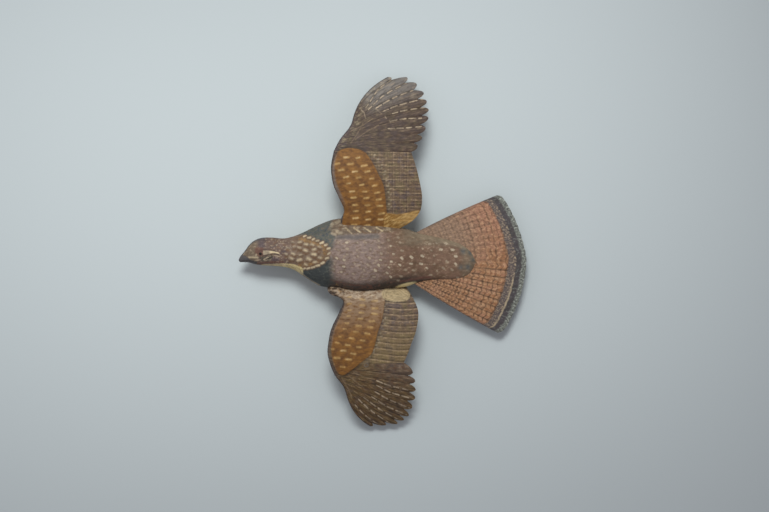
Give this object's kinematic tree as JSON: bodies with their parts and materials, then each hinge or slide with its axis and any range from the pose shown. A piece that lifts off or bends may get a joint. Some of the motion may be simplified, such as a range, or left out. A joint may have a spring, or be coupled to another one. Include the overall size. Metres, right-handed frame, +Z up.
{
  "type": "carved wooden grouse",
  "caption": "Carved and painted wooden grouse in flight, with bowed spread wings and a fanned tail, that lies on a small flat on its belly.",
  "frame": {"origin": "middle of the wingspan and of the length from beak to tail, on the plane that the belly rests on", "axes": "+X towards the tail and -X towards the head, +Y towards the bird's right wing tip, +Z up out of its back"},
  "size_m": [0.209, 0.2544, 0.0361],
  "materials": {
    "body_paint": "hand painted, soft satin",
    "wing_paint": "hand painted, soft satin",
    "tail_paint": "hand painted, soft satin"
  },
  "bodies": {
    "root": {"body": "body_paint", "right_wing": "wing_paint", "left_wing": "wing_paint", "tail_fan": "tail_paint"}
  },
  "joints": []
}
